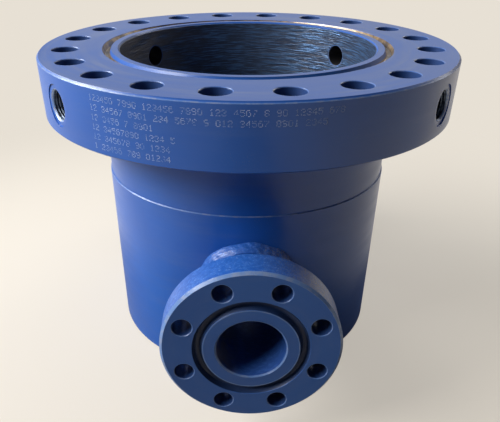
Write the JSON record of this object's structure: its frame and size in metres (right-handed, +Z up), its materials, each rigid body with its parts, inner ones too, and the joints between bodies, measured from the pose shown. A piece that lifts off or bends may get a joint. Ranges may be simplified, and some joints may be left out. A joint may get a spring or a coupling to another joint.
{
  "type": "wellhead casing head",
  "caption": "Wellhead casing head: a drilled top flange with ring groove and lock screw ports on a stepped, bored barrel, with flanged outlets welded to its front and rear.",
  "frame": {"origin": "centre of the foot, on the bore axis", "axes": "+Z up along the bore, -Y out of the front outlet, +X to the right of the front view"},
  "size_m": [0.5588, 0.6654, 0.415],
  "materials": {
    "blue_paint": "gloss blue enamel over machined steel",
    "weld_paint": "gloss blue enamel over a rough weld bead"
  },
  "bodies": {
    "root": {"top_flange": "blue_paint", "hub": "blue_paint", "barrel": "blue_paint", "front_outlet_flange": "blue_paint", "front_outlet_neck": "blue_paint", "front_outlet_weld": "weld_paint", "rear_outlet_flange": "blue_paint", "rear_outlet_neck": "blue_paint", "rear_outlet_weld": "weld_paint"}
  },
  "joints": []
}
